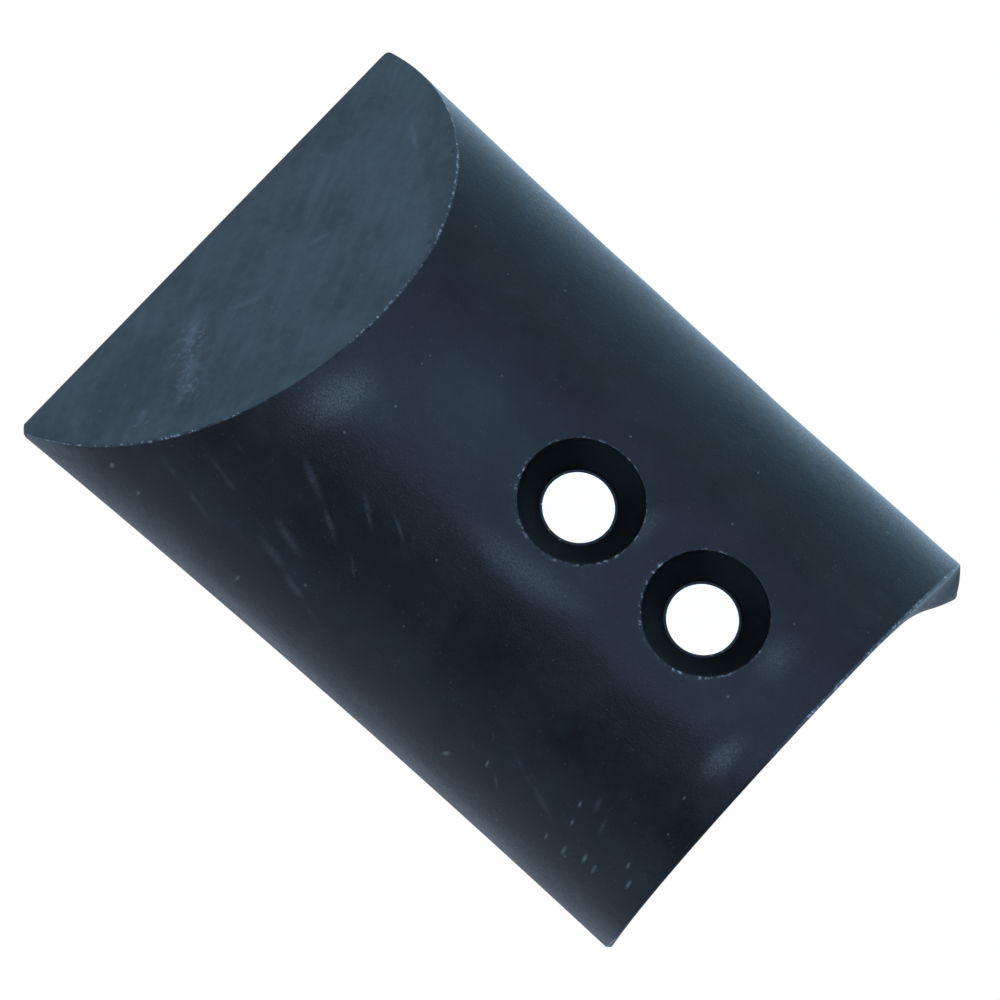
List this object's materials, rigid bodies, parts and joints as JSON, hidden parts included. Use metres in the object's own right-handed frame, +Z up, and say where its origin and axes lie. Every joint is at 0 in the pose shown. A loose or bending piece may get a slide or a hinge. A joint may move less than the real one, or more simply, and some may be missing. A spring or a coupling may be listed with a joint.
{
  "type": "speed bump end cap",
  "caption": "Rubber speed bump end cap: half-ellipse dome bar with a sawn 45 degree ramp and steel-lined countersunk anchor holes.",
  "frame": {"origin": "middle of the footprint, on the ground", "axes": "+Z up; +X along the bump from the ramp toe to the square joint end; +Y across it"},
  "size_m": [0.2286, 0.1588, 0.0603],
  "materials": {
    "black_rubber": "satin extruded skin, matt sawn ramp",
    "sleeve_steel": "dull zinc plate",
    "washer_steel": "dull zinc plate"
  },
  "bodies": {
    "root": {"rubber_body": "black_rubber", "anchor_sleeve_ramp_side": "sleeve_steel", "anchor_sleeve_joint_side": "sleeve_steel", "base_washer_ramp_side": "washer_steel", "base_washer_joint_side": "washer_steel"}
  },
  "joints": []
}
